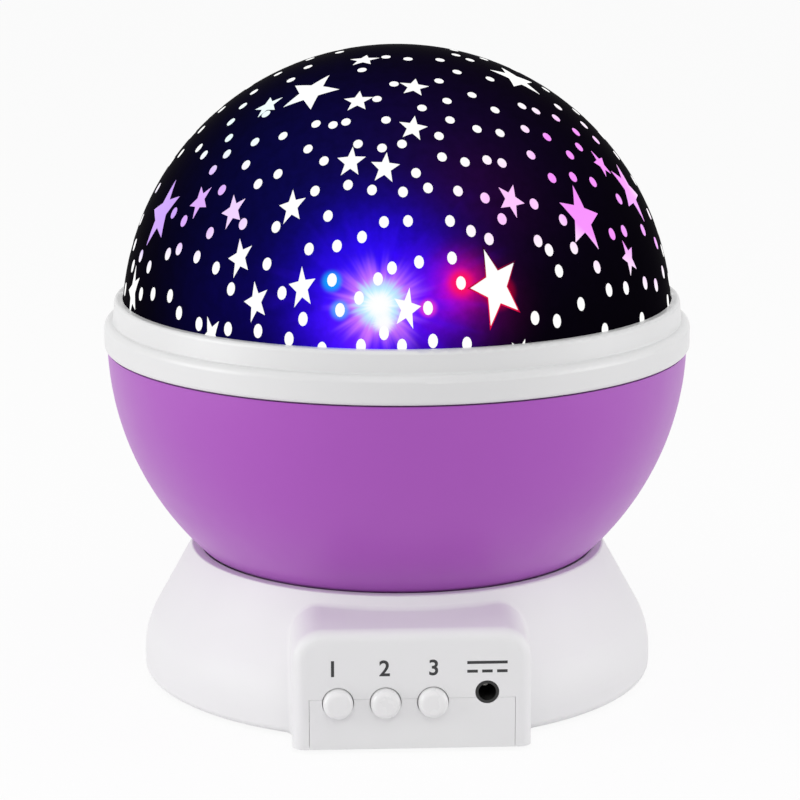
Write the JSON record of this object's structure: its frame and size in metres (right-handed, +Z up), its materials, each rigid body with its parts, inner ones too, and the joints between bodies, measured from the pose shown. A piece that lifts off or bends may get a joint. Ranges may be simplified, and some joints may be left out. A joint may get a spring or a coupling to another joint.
{
  "type": "night light projector",
  "caption": "Ball-shaped star night light projector: a geared, turning bowl with a star-pierced bayonet dome on a round base with push buttons and a power socket.",
  "frame": {"origin": "on the surface it stands on, under the centre of the turning axis", "axes": "+Z up along the turning axis, -Y towards the control panel, +X to the right of someone facing the panel"},
  "size_m": [0.13, 0.13, 0.141],
  "materials": {
    "white_abs": "moulded ABS, gloss white",
    "purple_abs": "moulded ABS, purple, satin gloss",
    "button_abs": "moulded ABS, gloss white",
    "clear_styrene": "clear moulded styrene",
    "black_film": "opaque dark ink film",
    "tray_white": "moulded ABS, matt white",
    "rubber_pad": "moulded rubber",
    "zinc_steel": "zinc plated steel",
    "spring_steel": "nickel plated spring steel",
    "cell_sleeve": "plain printed cell sleeve",
    "board_green": "solder mask on glass fibre board",
    "black_nylon": "moulded black nylon",
    "pin_brass": "nickel plated brass",
    "motor_steel": "drawn steel can",
    "gear_acetal": "moulded natural acetal",
    "washer_ptfe": "slippery plastic washer",
    "led_clear": "clear epoxy lens",
    "led_red_lens": "tinted epoxy lens",
    "led_green_lens": "tinted epoxy lens",
    "led_blue_lens": "tinted epoxy lens",
    "lead_red": "PVC insulated lead",
    "lead_black": "PVC insulated lead"
  },
  "bodies": {
    "base": {"base_shell": "white_abs", "bottom_plate": "white_abs", "rubber_feet": "rubber_pad", "base_screws": "zinc_steel", "thrust_washer": "washer_ptfe", "battery_cells": "cell_sleeve", "battery_springs": "spring_steel", "battery_contacts": "spring_steel", "control_board": "board_green", "board_screws": "zinc_steel", "switch_bodies": "black_nylon", "dc_jack_body": "black_nylon", "dc_jack_pin": "pin_brass", "motor_body": "motor_steel", "motor_screws": "zinc_steel", "led_post": "tray_white", "post_screws": "zinc_steel", "led_board": "tray_white", "led_board_screws": "zinc_steel", "led_white": "led_clear", "led_red": "led_red_lens", "led_green": "led_green_lens", "led_blue": "led_blue_lens", "led_lead": "lead_black", "motor_lead": "lead_red", "battery_lead": "lead_red"},
    "ball": {"bowl": "purple_abs", "inner_tray": "tray_white", "tray_screws": "zinc_steel", "drive_gear": "gear_acetal", "gear_screws": "zinc_steel"},
    "cover": {"dome_ring": "white_abs", "light_dome": "clear_styrene", "star_mask": "black_film"},
    "drive": {"motor_shaft": "zinc_steel", "motor_pinion": "gear_acetal"},
    "door": {"battery_door": "white_abs"},
    "key_1": {"button_1": "button_abs", "switch_plunger_1": "black_nylon"},
    "key_2": {"button_2": "button_abs", "switch_plunger_2": "black_nylon"},
    "key_3": {"button_3": "button_abs", "switch_plunger_3": "black_nylon"}
  },
  "joints": [
    {"name": "ball_spin", "type": "hinge", "parent": "base", "child": "ball", "pos_m": [0, 0, 0.0286], "axis": [0, 0, 1], "continuous": true},
    {"name": "cover_twist", "type": "hinge", "parent": "ball", "child": "cover", "pos_m": [0, 0, 0.077], "axis": [0, 0, 1], "range_deg": [0, 15]},
    {"name": "drive_spin", "type": "hinge", "parent": "base", "child": "drive", "pos_m": [0.035, 0, 0.0206], "axis": [0, 0, 1], "continuous": true},
    {"name": "door_swing", "type": "hinge", "parent": "base", "child": "door", "pos_m": [0, -0.0183, 0.0008], "axis": [-1, 0, 0], "range_deg": [0, 75]},
    {"name": "button_1_press", "type": "slide", "parent": "base", "child": "key_1", "axis": [0, 1, 0], "range_m": [0, 0.0015], "stiffness_N_per_m": 300, "springref_m": -0.001},
    {"name": "button_2_press", "type": "slide", "parent": "base", "child": "key_2", "axis": [0, 1, 0], "range_m": [0, 0.0015], "stiffness_N_per_m": 300, "springref_m": -0.001},
    {"name": "button_3_press", "type": "slide", "parent": "base", "child": "key_3", "axis": [0, 1, 0], "range_m": [0, 0.0015], "stiffness_N_per_m": 300, "springref_m": -0.001}
  ],
  "couplings": [
    {"joint": "drive_spin", "follows": "ball_spin", "ratio": -4}
  ]
}
